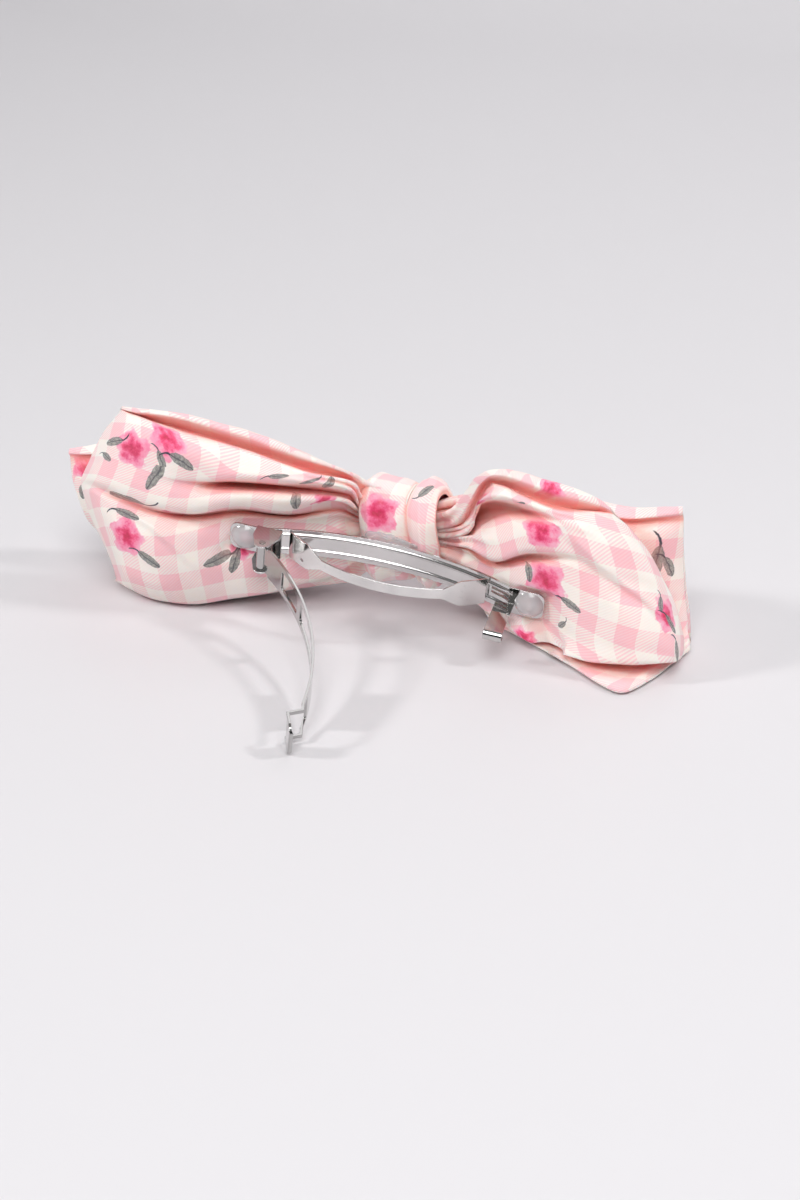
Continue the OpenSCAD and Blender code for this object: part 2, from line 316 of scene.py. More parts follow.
class Nodes:
    """Short names for building a shader."""

    def __init__(self, name, kind="materials"):
        self.owner = getattr(bpy.data, kind).new(name)
        self.owner.use_nodes = True
        self.tree = self.owner.node_tree
        self.tree.nodes.clear()

    def node(self, kind, inputs=None, **props):
        """A new node. Its inputs are values or other nodes' outputs, under their names or numbers."""
        n = self.tree.nodes.new("ShaderNode" + kind)
        for key, value in props.items():
            setattr(n, key, value)
        for key, value in (inputs or {}).items():
            if isinstance(value, bpy.types.NodeSocket):
                self.tree.links.new(value, n.inputs[key])
            else:
                n.inputs[key].default_value = value
        return n

    def math(self, op, *values, clamp=False):
        return self.node("Math", dict(enumerate(values)), operation=op, use_clamp=clamp).outputs[0]

    def add(self, a, b, clamp=False):
        return self.math("ADD", a, b, clamp=clamp)

    def sub(self, a, b):
        return self.math("SUBTRACT", a, b)

    def mul(self, a, b):
        return self.math("MULTIPLY", a, b)

    def size(self, a):
        return self.math("ABSOLUTE", a)

    def sway(self, value, amount):
        """A noise, which lies about 0.5, as a push to either side."""
        return self.mul(self.sub(value, 0.5), amount)

    def mix(self, fac, a, b):
        return self.node("Mix", {0: fac, 6: a, 7: b}, data_type="RGBA").outputs[2]

    def ramp(self, fac, stops):
        n = self.node("ValToRGB", {0: fac})
        while len(n.color_ramp.elements) < len(stops):
            n.color_ramp.elements.new(0.5)
        for e, (pos, col) in zip(n.color_ramp.elements, stops):
            e.position, e.color = pos, col
        return n.outputs[0]

    def noise(self, vector, scale, detail=2, rough=0.5):
        values = {"Vector": vector, "Scale": scale, "Detail": detail, "Roughness": rough}
        return self.node("TexNoise", values).outputs["Fac"]

    def smooth(self, value, low, high, to_low=0.0, to_high=1.0):
        values = {0: value, 1: low, 2: high, 3: to_low, 4: to_high}
        return self.node("MapRange", values, interpolation_type="SMOOTHSTEP").outputs[0]

    def attribute(self, name, output="Vector"):
        return self.node("Attribute", attribute_name=name).outputs[output]

    def split(self, vector):
        return self.node("SeparateXYZ", {0: vector}).outputs

    def object_place(self):
        return self.node("TexCoord").outputs["Object"]

    def bump(self, height, strength, distance, **more):
        values = {"Height": height, "Strength": strength, "Distance": distance, **more}
        return self.node("Bump", values).outputs[0]

    def surface(self, values):
        return self.finish(self.node("BsdfPrincipled", values).outputs[0])

    def finish(self, shader, output="OutputMaterial"):
        self.node(output, {0: shader})
        return self.owner


TWILL_PITCH, TWILL_SLOPE = 1.05, 1.25
SQUARE = 10.6  # one light and one pink band of the gingham together
CREAM, CREAM_RIB = lin(0.99, 0.95, 0.92), lin(0.99, 0.915, 0.89)
STRIPE_RIB, STRIPE_SOFT = lin(0.99, 0.80, 0.82), lin(0.99, 0.885, 0.87)
SOLID, SOLID_RIB = lin(0.995, 0.805, 0.822), lin(0.99, 0.725, 0.76)
PETALS = [
    (0.0, lin(0.99, 0.70, 0.79)), (0.32, lin(0.985, 0.56, 0.69)), (0.55, lin(0.94, 0.34, 0.54)),
    (0.82, lin(0.87, 0.12, 0.38)), (1.0, lin(0.80, 0.06, 0.30)),
]
LEAVES = [(0.3, lin(0.38, 0.38, 0.40)), (0.48, lin(0.56, 0.56, 0.55)), (0.7, lin(0.74, 0.73, 0.69))]
LEAF_VEIN, LEAF_RIM, STEM = lin(0.27, 0.28, 0.32), lin(0.30, 0.31, 0.34), lin(0.27, 0.29, 0.33)
# painted shade: the warm salmon mixed into the cloth down folds and in hollows
PAINTED_HOLLOW_SHADE = lin(0.995, 0.655, 0.60)


def gingham(m, u, v, rib, weave):
    """Cream, half-pink and pink squares of twill."""
    line = m.smooth(rib, 0.3, 0.72)

    def band(x, shift):
        place = m.math("FRACT", m.add(m.math("DIVIDE", x, SQUARE), shift))
        edge = m.add(m.size(m.sub(place, 0.5)), m.sway(weave, 0.012))
        return m.smooth(edge, 0.244, 0.256, 1.0, 0.0)

    a, b = band(u, 0.12), band(v, 0.4)
    half = m.mix(0.38, m.mix(line, CREAM, STRIPE_RIB), STRIPE_SOFT)
    solid = m.mix(m.mul(line, 0.6), SOLID, SOLID_RIB)
    cream = m.mix(m.mul(line, 0.4), CREAM, CREAM_RIB)
    colour = m.mix(m.math("MAXIMUM", a, b), cream, half)
    return m.mix(m.mul(a, b), colour, solid)


def roses(m, colour):
    """Watercolour roses: five soft petals, darker and swirled towards the middle."""
    rose = m.attribute("rose")
    x, y, shift = m.split(rose)
    wash = m.node("VectorMath", {0: rose, 1: (1, 1, 5)}, operation="MULTIPLY").outputs[0]
    level = m.node("VectorMath", {0: rose, 1: (1, 1, 0)}, operation="MULTIPLY").outputs[0]
    r = m.node("VectorMath", {0: level}, operation="LENGTH").outputs["Value"]
    angle = m.math("ARCTAN2", y, x)
    petals = m.mul(m.math("SINE", m.add(m.mul(angle, 5.0), shift)), 0.1)
    radius = m.add(m.add(0.78, petals), m.sway(m.noise(wash, 1.7, 3, 0.6), 0.75))
    t = m.math("DIVIDE", r, radius)
    inside = m.smooth(t, 0.93, 1.04, 1.0, 0.0)
    swirl = m.math("SINE", m.add(m.mul(r, 13.0), m.mul(angle, 2.0)))
    tone = m.add(m.sub(1.02, t), m.sway(m.noise(wash, 4.2, 3, 0.65), 1.15))
    tone = m.add(tone, m.mul(swirl, 0.10), clamp=True)
    return m.mix(m.mul(inside, 0.93), colour, m.ramp(tone, PETALS))


def leaves(m, kind, colour):
    """Grey brushed leaves with a dark vein and rim, and a thin curved stem."""
    leaf = m.attribute(kind)
    x, y, _ = m.split(leaf)
    y = m.add(y, m.sway(m.noise(leaf, 2.3, 3, 0.6), 0.22))
    wide = m.mul(m.math("SQRT", m.math("MAXIMUM", m.sub(1.0, m.mul(x, x)), 0.0)), 0.42)
    inside = m.sub(wide, m.size(y))
    vein = m.smooth(m.size(y), 0.02, 0.07, 1.0, 0.0)
    rim = m.smooth(inside, 0.03, 0.1, 1.0, 0.0)
    tone = m.ramp(m.noise(leaf, 5.0, 4, 0.7), LEAVES)
    tone = m.mix(m.mul(vein, 0.8), tone, LEAF_VEIN)
    tone = m.mix(m.mul(rim, 0.45), tone, LEAF_RIM)
    colour = m.mix(m.mul(m.smooth(inside, 0.0, 0.06), 0.95), colour, tone)
    past = m.add(x, 1.0)
    stem = m.smooth(m.size(m.sub(y, m.mul(past, past))), 0.05, 0.1, 1.0, 0.0)
    part = m.mul(m.smooth(x, -1.75, -1.65), m.smooth(x, -0.95, -0.9, 1.0, 0.0))
    return m.mix(m.mul(stem, part), colour, STEM)


def cloth_material(name, turn):
    """Printed gingham twill, laid out on the flat-cloth lengths and turned a little on them, with painted
    warm shade in its folds and hollows.
    """
    m = Nodes(name)
    flat = {0: m.node("UVMap", uv_map="flat").outputs[0], "Rotation": (0, 0, turn)}
    flat = m.node("Mapping", flat).outputs[0]
    u, v, _ = m.split(flat)
    rib = m.math("FRACT", m.math("DIVIDE", m.add(u, m.mul(v, TWILL_SLOPE)), TWILL_PITCH))
    rib = m.size(m.sub(m.mul(rib, 2.0), 1.0))
    weave = m.noise(flat, 3.2, 3, 0.7)
    colour = roses(m, gingham(m, u, v, rib, weave))
    for kind in ("leaf", "sprig"):
        colour = leaves(m, kind, colour)
    return m.surface({
        # the fold attribute mixes in the painted hollow shade
        "Base Color": m.mix(m.mul(m.attribute("fold", "Fac"), 0.75), colour, PAINTED_HOLLOW_SHADE),
        "Roughness": 0.86,
        "Specular IOR Level": 0.25,
        "Sheen Weight": 0.18,
        "Sheen Roughness": 0.5,
        "Subsurface Weight": 0.42,
        "Subsurface Radius": (1.0, 0.42, 0.34),
        "Subsurface Scale": 0.0034,
        "Normal": m.bump(m.add(m.mul(rib, 0.6), m.mul(weave, 0.5)), 0.35, 0.00012),
    })


def metal(name, shade, rough, seed):
    """Bright nickel with faint drawn lines, patches of wear and rounded edges."""
    m = Nodes(name)
    place = m.object_place()
    wear = m.noise(place, 900 + seed, 4, 0.6)
    drawn = m.node("Mapping", {0: place, "Scale": (150, 4200, 4200)}).outputs[0]
    rounded = m.node("Bevel", {"Radius": 0.00016}, samples=4).outputs[0]
    worn = tuple(c * 0.86 for c in shade[:3]) + (1,)
    return m.surface({
        "Base Color": m.mix(m.smooth(wear, 0.55, 0.8), shade, worn),
        "Metallic": 1.0,
        "Roughness": m.add(rough, m.mul(wear, 0.05)),
        "Normal": m.bump(m.noise(drawn, 1.0), 0.10, 0.00005, Normal=rounded),
    })


def glue(name):
    """Set clear glue, a little cloudy, with a glossy uneven skin."""
    m = Nodes(name)
    return m.surface({
        "Base Color": (1.0, 0.975, 0.985, 1),
        "Roughness": 0.18,
        "IOR": 1.32,
        "Transmission Weight": 0.62,
        "Coat Weight": 1.0,
        "Coat Roughness": 0.04,
        "Normal": m.bump(m.noise(m.object_place(), 420), 0.22, 0.0005),
    })


def thread_material():
    m = Nodes("white_thread")
    colour = m.mix(m.noise(m.object_place(), 3000), lin(0.97, 0.95, 0.93), lin(0.86, 0.83, 0.8))
    return m.surface({"Base Color": colour, "Roughness": 0.8})


def plain(name, colour, rough):
    return Nodes(name).surface({"Base Color": colour, "Roughness": rough, "Specular IOR Level": 0.3})


FINISH = {
    # one nickel on all four metal parts, with shades set part by part: painted shade on the arm and the
    # catch, which are darker, and painted light on the spring, which is lighter
    "base_plate": metal("nickel_base", (0.66, 0.65, 0.645, 1), 0.05, 3),
    "tension_spring": metal("nickel_spring", (0.74, 0.73, 0.72, 1), 0.08, 11),
    "clasp_arm": metal("nickel_arm", (0.50, 0.49, 0.485, 1), 0.03, 23),
    "catch_hook": metal("nickel_catch", (0.56, 0.55, 0.54, 1), 0.03, 31),
    "glue_dome_left": glue("glue_left"),
    "glue_dome_right": glue("glue_right"),
    "glue_pad_center": glue("glue_pad"),
    "gathering_thread": thread_material(),
}
for key, finish in FINISH.items():
    nodes[key].data.materials.clear()
    nodes[key].data.materials.append(finish)

# ---------------------------------------------------------------- near layer of loops
# A loop is a closed ring of rails, each from the waist to the loop's end. They go down the front and then
# back up behind. Front rails are (x, z as seen, depth y), and the rest are plain (x, y, z).
LEFT_NEAR = front([
    [(-7, 38.5, 14), (-12, 40.6, 8), (-22.5, 43.8, 6), (-36, 47.8, 6),
     (-46.4, 49.3, 6), (-57.3, 50.5, 6), (-66, 50.2, 6), (-70, 50, 6)],
    [(-7, 37, 13), (-11.5, 39.3, 7), (-22.5, 41.8, 3.5), (-35.8, 45.3, 3),
     (-47, 47.6, 3), (-58, 49, 3.2), (-66.2, 49.3, 4), (-69.8, 49.8, 5.5)],
    [(-7.5, 34.5, 14), (-10.3, 38.1, 10), (-22.6, 39.4, 7), (-35.7, 42.4, 7),
     (-48, 45, 7), (-58, 46.9, 7), (-66, 48.6, 6.5), (-69.5, 49.5, 6)],
    [(-7.5, 33.5, 12), (-10.5, 37, 6), (-22.6, 38.4, 1.5), (-35.7, 41.4, 1),
     (-48, 44, 1), (-58, 45.9, 1), (-66.2, 47.5, 2.5), (-70, 49, 5.5)],
    [(-7.8, 31, 12), (-11, 36, 5), (-24, 36.8, -1), (-38, 38, -2.5),
     (-48, 39.5, -3.5), (-58.5, 40.5, -3.5), (-69, 42, -1), (-74.5, 43.5, 5)],
    [(-7.8, 30.5, 12), (-11.3, 35.1, 4.5), (-26, 34.9, -1.5), (-40, 34.2, -3.5),
     (-50, 33, -4.2), (-60, 33.5, -4.5), (-72, 36.5, -1.2), (-78, 37, 5)],
    [(-7.8, 30, 13.5), (-11.5, 34, 8.5), (-26, 33.9, 4.5), (-40, 33.2, 3.2),
     (-50, 31.6, -2.6), (-60.3, 31.5, -4.8), (-73, 34, -1.6), (-79, 34.8, 5)],
    [(-7.8, 29.5, 12.5), (-12.5, 32.3, 5), (-26, 31, -1), (-40, 30.2, -3.6),
     (-51, 28.2, -5), (-61, 28.5, -5.4), (-74, 31.8, -2), (-80.2, 32.5, 5)],
    [(-7.8, 28.8, 12.5), (-15, 31, 5), (-26, 27.4, 0), (-39.2, 27.3, -3.4),
     (-51, 24.2, -5), (-62, 24.8, -5.2), (-75, 29, -2), (-81.3, 30, 5)],
    [(-7.8, 28, 14), (-14.5, 29.5, 8.6), (-26, 26.4, 6.2), (-39.2, 26, 3.4),
     (-51, 23.2, 0.4), (-62.5, 23.4, -1.8), (-75.5, 27.4, 0), (-81.5, 28.6, 5)],
    [(-7.8, 27, 12.8), (-14, 27.5, 7.5), (-26, 24.8, 3.5), (-39, 24, 0.8),
     (-51, 21.4, -2.2), (-62.5, 21.6, -3.6), (-75.5, 25, -1.4), (-81.2, 26, 5)],
    [(-7.8, 24, 12), (-14, 22.5, 8), (-26, 20.5, 3.2), (-39, 19.5, 0.5),
     (-51, 17, -4.2), (-62.5, 16.5, -6), (-74, 19.5, -2.4), (-79.4, 19.5, 5)],
    [(-7.8, 20, 12), (-14, 17, 8.5), (-26, 14, 4), (-39, 11.5, -0.5),
     (-51, 9, -4.4), (-61.5, 8.5, -6), (-71, 11, -2.6), (-75.8, 11.5, 5)],
    [(-7.8, 18, 12), (-14, 14, 9), (-27, 8.6, 4.6), (-39.6, 5, 0.5),
     (-51, 2.2, -2.8), (-60, 1.7, -4.2), (-68.5, 3.6, -2), (-73.6, 5, 5)],
    [(-7.8, 17, 14), (-14, 12.4, 12), (-28.6, 5.7, 7), (-39.9, 2, 4),
     (-51, -1.2, 1.2), (-58.5, -1.5, 1), (-66.9, -0.1, 3), (-73.6, 2.7, 5)],
]) + [
    [(-9.8, 17, 9), (-15, 16, 6), (-28, 14, 4), (-40, 13.5, 2.5),
     (-51, 13, 2), (-59, 12.5, 2.2), (-67, 10, 4), (-75.8, 5.2, 11.5)],
    [(-9.8, 17.4, 18), (-15, 17, 20), (-28, 16, 22), (-40, 15.5, 24),
     (-51, 15, 25), (-60, 14.5, 25), (-72, 11, 26), (-81.3, 5.2, 28)],
    [(-9.8, 17, 27), (-14, 14, 32), (-25, 13, 37), (-38, 12.5, 41),
     (-48, 12.4, 43), (-58, 12.4, 43.6), (-68, 10, 43), (-75.8, 5.4, 41.2)],
]
RIGHT_NEAR = front([
    [(12.8, 31, 14), (16, 33.7, 10), (21.6, 42.2, 7), (28.3, 44.7, 6),
     (38.6, 43.3, 5.5), (46, 41.4, 5), (51.5, 39.4, 5), (54.5, 37.7, 5)],
    [(13.2, 29, 13), (17.5, 32, 8), (22.6, 40.9, 4), (27.8, 43, 2.5),
     (39, 40.2, 1.5), (47, 39, 2), (52, 38.1, 3.5), (54.6, 37.2, 5)],
    [(13.6, 27.5, 14), (18.8, 30.5, 11), (23.6, 40, 8), (27.2, 41, 6.5),
     (39.5, 36.9, 5), (47, 36.6, 5), (52, 36.8, 5), (54.9, 36.6, 5)],
    [(14, 27, 13), (19.6, 29.8, 8), (24.2, 38.8, 4), (28, 39.8, 1.5),
     (40, 35.6, -0.5), (48, 35.2, 0), (53, 35.8, 2.5), (55.6, 36, 5)],
    [(14.2, 26.4, 13), (20, 28.6, 8), (21.5, 35, 3), (27.6, 37, -0.6),
     (41, 34, -1.4), (50, 32.8, -2), (56, 33, 1), (58.4, 34, 5)],
    [(14.2, 25.9, 14.5), (20.2, 27.8, 12), (22, 33.6, 13.5), (28.4, 35.4, 9),
     (42, 32.6, -1.9), (51.4, 30.8, -3), (58, 30.8, 0), (61.2, 31, 5)],
    [(14.2, 25.4, 14), (20.2, 26.8, 9.5), (23, 29.6, 7), (31, 31.8, 0.5),
     (42.6, 30.8, -2.6), (52.4, 28.8, -4), (60, 28.4, -0.6), (64, 27.7, 5)],
    [(14.2, 24.8, 13.5), (20, 25.6, 8), (25, 25.2, 1.5), (33, 27.6, -2.2),
     (43, 28, -3.4), (53.4, 25.8, -5), (62, 25, -1.2), (66.4, 23.6, 5)],
    [(14.2, 24.2, 13), (19.6, 23.9, 7.5), (26, 21, 0.6), (34, 24, -2.4),
     (43.6, 25, -3.8), (54.6, 22.6, -5.6), (64, 21.4, -1.6), (68.2, 20.2, 5)],
    [(14.2, 23.7, 14), (19.6, 23, 10), (26, 20.2, 7), (34.4, 22.8, 3.4),
     (44.2, 23.2, -2.6), (55.4, 20, -5.4), (65.2, 18.6, -1.6), (69.6, 17.8, 5)],
    [(14.2, 23, 13), (19.6, 21.6, 8.5), (26.2, 18.4, 3.4), (35, 20.6, -1),
     (45, 20.6, -3.6), (56.4, 17.6, -6.2), (66.4, 15.6, -2.2), (70.8, 15.2, 5)],
    [(14.2, 21, 12.5), (19.6, 18.6, 8.5), (26.6, 15, 4), (36.6, 15.6, -1.4),
     (46.6, 15.4, -5), (57.6, 13, -8), (67.8, 11.4, -3.4), (72.2, 11, 5)],
    [(14.2, 18, 12.5), (19.4, 15.2, 9), (27, 10.6, 4.6), (38, 9.6, -2),
     (48.4, 9, -7), (58.6, 7.6, -9.6), (68.6, 6.8, -4.6), (73.3, 6.6, 5)],
    [(14.2, 15.5, 12.5), (19.6, 12, 9.6), (28.6, 6.2, 5), (40, 3.2, -3),
     (49.6, 2.4, -9), (59, 1.8, -11), (68.8, 2.2, -6.4), (73.3, 2.8, 4)],
    [(14.2, 15.6, 14), (20.1, 10.2, 12), (34.9, 0.6, 0), (44.3, -2.4, -8),
     (51.2, -3.3, -10.8), (60, -2.6, -10.4), (68.4, -1, -6.8), (72.6, 0.4, 3)],
]) + [
    [(14, 17, 9), (20, 16, 7.5), (34, 11, 7), (44, 7, 5.5),
     (51, 4, 5), (60, 2.5, 5), (68, 4, 5), (73.3, 5, 5)],
    [(14, 17, 17), (20, 16.5, 20), (30, 16, 22), (40, 15, 22),
     (50, 12, 20), (60, 9, 17), (67, 7.5, 14), (70.3, 5, 16.3)],
    [(13.5, 16.5, 25), (19, 15, 32), (28, 13, 36), (38.5, 12, 35),
     (47, 10.5, 32), (54, 9, 28), (58, 8, 25), (60, 5, 32)],
]

# ---------------------------------------------------------------- far layer of loops, all plain (x, y, z)
LEFT_FAR = [
    [(-9, 22, 28.5), (-14, 21.5, 30.5), (-26, 21, 35.5), (-40, 20.4, 39),
     (-53, 20, 39.6), (-66, 19.5, 37.4), (-80, 18.8, 34), (-89.8, 18, 32)],
    [(-9, 19, 28), (-14, 18.4, 30), (-26, 17.6, 34.5), (-40, 17, 38),
     (-53, 16.6, 38.4), (-66, 16.2, 36), (-80, 15.6, 32.8), (-89.8, 17, 31)],
    [(-9, 20, 27), (-14, 19.6, 29), (-26, 19, 33.2), (-40, 18.6, 36.6),
     (-53, 18.2, 37), (-66, 18, 34.4), (-80, 17.6, 31.4), (-89.6, 17.4, 30)],
    [(-9, 17.5, 25), (-14, 17, 26), (-26, 16.4, 29), (-40, 16, 31),
     (-53, 15.6, 30), (-66, 15, 28), (-79, 14.4, 26), (-89.2, 17, 25.3)],
    [(-9, 17.5, 18), (-14, 17, 18.5), (-26, 16, 19), (-40, 15.4, 19.5),
     (-53, 15, 19), (-66, 14.4, 18), (-78, 14, 17.6), (-88.4, 17, 21)],
    [(-9, 17.5, 13.5), (-14, 17.6, 11.6), (-26, 17, 9), (-40, 16.4, 8),
     (-53, 16, 7.5), (-65, 15.6, 8), (-75, 15.6, 9.6), (-85.6, 17, 13.2)],
    [(-9, 20.5, 11.4), (-14, 20.6, 8.4), (-26, 21, 4), (-40, 21, 2),
     (-53, 21, 1.2), (-64, 20.6, 2), (-72, 20, 4), (-81.5, 18, 8.4)],
    [(-9, 25, 13.4), (-14, 26, 10.6), (-26, 27.6, 8), (-40, 28.4, 7.5),
     (-53, 28, 7.5), (-65, 26.8, 8), (-75, 24.8, 10), (-84, 19, 12)],
    [(-9, 25.8, 15), (-14, 27, 14.5), (-26, 28.8, 14), (-40, 29.4, 14),
     (-53, 29, 14), (-66, 27.8, 14.5), (-78, 25, 16), (-86.4, 19, 16)],
    [(-9, 24.4, 17.6), (-14, 25, 18), (-26, 26.6, 19), (-40, 28, 20),
     (-53, 28.4, 20.5), (-66, 27.4, 20.5), (-79, 24.6, 20.5), (-88, 19, 20)],
    [(-9, 25.8, 20.4), (-14, 27.2, 22.4), (-26, 29, 25.4), (-40, 29.4, 27.4),
     (-53, 28.8, 27.6), (-66, 27.2, 26.6), (-80, 24, 25.4), (-88.8, 19, 24.4)],
    [(-9, 25, 26), (-14, 25, 28), (-26, 25.4, 32), (-40, 25.2, 35),
     (-53, 24.6, 35.4), (-66, 23.6, 33.4), (-80, 21.6, 31), (-89.4, 18.6, 29.4)],
]
RIGHT_FAR = [
    [(10, 22, 28.5), (17, 21.5, 30.5), (28, 21, 34.5), (40, 20, 35.5),
     (50, 19, 33), (57, 18, 32.8), (64, 18, 34), (69.4, 18, 34.8)],
    [(10, 19, 28), (17, 18, 30), (28, 17.5, 33.5), (40, 16.5, 34.2),
     (50, 15.5, 31.8), (57, 15, 31.4), (64, 15.2, 32.8), (69.6, 17, 33.6)],
    [(10, 20, 27), (17, 19.5, 29), (28, 19, 32.2), (40, 18, 32.8),
     (50, 17, 30.2), (57, 17, 29.8), (64, 17, 31.2), (69.8, 17.4, 32)],
    [(10, 17.5, 25), (17, 17, 26), (28, 17, 29), (40, 16, 28),
     (50, 14.6, 27), (57, 14, 27), (64, 14.4, 28), (70, 17, 28.5)],
    [(10, 17.5, 18), (17, 17.5, 19), (28, 17, 19), (40, 15.5, 18),
     (50, 13.8, 17), (58, 13, 17), (65, 13.2, 17.5), (70.6, 16.6, 18)],
    [(10, 17.5, 13.5), (17, 18, 11.5), (28, 17.5, 9), (40, 15, 7),
     (50, 12, 5.5), (60, 10, 5.4), (67, 9.6, 5.6), (72.5, 15, 6)],
    [(10, 19, 12), (17, 19.5, 8), (27, 16, 4.6), (38, 9.6, 3.2),
     (49, 1, 3), (60.5, -4, 2.8), (68, 0, 2.9), (74, 12.4, 3)],
    [(10, 20, 11.4), (17, 19.6, 6.6), (26, 12.6, 3.2), (36, 4.2, 2.4),
     (48, -5.6, 2.3), (61.6, -14.4, 2.3), (68, -6, 2.4), (74.6, 10.8, 2.2)],
    [(10, 20.4, 11), (17, 19.2, 5.6), (24, 11.6, 1.6), (35.4, 3, 1.1),
     (48, -6.9, 1), (62.2, -17.4, 1), (69, -7, 1.1), (74.8, 10.3, 1.1)],
    [(10, 21, 10.8), (17, 20.4, 4.8), (26, 14, 0.6), (38, 6.6, 0.35),
     (50, -3, 0.3), (62, -13, 0.3), (68, -4, 0.3), (74, 11.6, 0.4)],
    [(10, 23, 11), (17, 23.5, 5.4), (28, 24, 1.2), (40, 24, 0.6),
     (50, 22, 0.5), (60, 20, 0.5), (67, 18.5, 0.6), (74, 14, 1)],
    [(10, 25.4, 13), (17, 26.5, 9), (28, 28.2, 6), (40, 29, 6),
     (50, 27.5, 6), (60, 25.5, 6), (67, 22.5, 6.5), (73, 16.5, 7)],
    [(10, 25.8, 15), (17, 27, 13.5), (28, 29, 13), (40, 29.6, 13),
     (50, 28.4, 13), (60, 26.6, 13), (67, 23.4, 13.5), (71.6, 17.4, 13.5)],
    [(10, 24.4, 17.5), (17, 25, 17.4), (28, 26.4, 17.6), (40, 28, 18),
     (50, 27.6, 18.4), (60, 26.2, 18.5), (67, 23.2, 19), (70.9, 17.6, 19)],
    [(10, 25.8, 20), (17, 27.2, 22), (28, 29, 24), (40, 29.6, 24.5),
     (50, 28.2, 24), (60, 26.2, 24), (67, 23, 24.5), (70.2, 17.6, 25)],
    [(10, 25, 26), (17, 25, 28), (28, 25.6, 31.5), (40, 25.6, 32),
     (50, 24, 30.4), (58, 22.6, 30), (65, 20.8, 31), (69.8, 18, 31.5)],
]


WAIST_Y, WAIST_Z = 17.5, 20  # the middle of the knot, where all the rails draw in


def into_knot(rails, x):
    """Starts each rail inside the knot."""
    out = []
    for rail in rails:
        _, y, z = rail[0]
        inner = (x, WAIST_Y + (y - WAIST_Y) * 0.6, WAIST_Z + (z - WAIST_Z) * 0.7)
        out.append([inner, *rail])
    return out


def painted_fold_shade(g, u, deep, around, spread=0.5):
    """Painted shade down folds: how far each point lies down a fold, from 0 to 1, on the listed (rail, from,
    to) stretches.
    """
    t = np.zeros(g.shape[:2])
    a = np.arange(len(g)) / around
    for rail, start, stop in deep:
        gap = np.minimum(np.abs(a - rail), len(g) / around - np.abs(a - rail))
        run = np.clip((u - start) / 5, 0, 1) * np.clip((stop - u) / 12, 0, 1)
        t = np.maximum(t, np.exp(-((gap / spread) ** 2))[:, None] * run)
    return t


def close_end(g, around, last_front, lap=0.12):
    """Sews the back edge of the loop's end onto the front edge, which ends at the given rail."""
    n = last_front * around + 1
    x, y, z = g[np.argsort(g[:n, -1, 2]), -1].T
    back = g[n:, -1]
    back[:, 0] = np.interp(back[:, 2], z, x)
    back[:, 1] = np.interp(back[:, 2], z, y) + lap
    return g


ALONG, AROUND = ((16, 10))  # steps between two rail points, and between two rails
ACROSS_WAIST = 3  # cloth between the left and the right loop


def loop_grid(rails, waist, seed, pleats, gathers, deep, zero, seam, last_front, folds=()):
    """One loop: pleats run gathers[0] mm out from the waist and are gathers[1] mm deep."""
    g, u, v, step_v = wing(into_knot(rails, waist), ALONG, AROUND, zero, seam)
    side = 1 if waist > 0 else -1
    g = wrinkle(g, u, v, side, pleats, *gathers, seed)
    for line, depth, width in folds:
        g = crease(g, line, depth, width)
    g = clear_base(g.reshape(-1, 3)).reshape(g.shape)
    g = close_end(keep_above(g), AROUND, last_front)
    v[seam * AROUND:] += v[0].mean() - v[0]
    u_from_knot = u * side + (ACROSS_WAIST if side > 0 else 0)
    # the last item is the painted shade down the listed folds
    return g, u_from_knot, v, v + step_v, painted_fold_shade(g, u, deep, AROUND)


# ---------------------------------------------------------------- prints
def shown(y, *rows):
    """Prints on cloth at depth y, from rows of x and z as seen, radius and turn."""
    return [(seen(x, z, y), radius, turn) for x, z, radius, turn in rows]


def hidden(*rows):
    """Prints on the show side, from rows of x, y, z, radius and turn."""
    return [((x, y, z), radius, turn) for x, y, z, radius, turn in rows]


NEAR_PRINTS = {
    "rose": shown(-3,
        (-57.1, 43.4, 4.4, 20), (-66.5, 38.5, 4.4, 80), (-67.2, 15.7, 4.6, 140), (-38.5, 15.2, 3.4, 10),
        (-16.1, 29, 2.4, 40), (-57.8, 24.3, 1.1, 60), (36.9, 29.6, 4.6, 200), (38.3, 16.5, 5.2, 90),
        (68, 11.1, 4.2, 20), (38.3, 43, 3.4, 0), (65.9, -0.3, 3.6, 70), (32, 1.6, 3.2, 30),
        (14.3, 32.9, 2.6, 0),
    ),
    "leaf": shown(-3,
        (-74.5, 40.5, 2.6, 160), (-58.1, 37.4, 2.1, 60), (-59.5, 33, 3.4, 100), (-28.3, 36.2, 1.9, 0),
        (-68.5, 25.1, 4, 170), (-61.5, 11.3, 2.8, 30), (-40.7, 11.3, 2.6, 110), (-24, 28.6, 2.4, 70),
        (31.7, 33.5, 1, 40), (45.9, 11.9, 2.5, 10), (66.2, 14.2, 1.7, 90), (58.5, -1.6, 2.4, 0),
        (74.3, 2.1, 2.6, 60),
    ),
    "sprig": shown(-3,
        (-76.4, 36.5, 1.8, 20), (-52.7, 37.8, 2.8, 10), (-19.4, 36.7, 2, 150), (-67.8, 21.6, 2.8, 5),
        (-44.9, 12.2, 2.8, 170), (-15.5, 32.5, 2.6, 100), (33.5, 17.6, 2.2, 80), (71.3, 9.7, 2.6, 50),
        (43, 6, 1.5, 120),
    ),
}
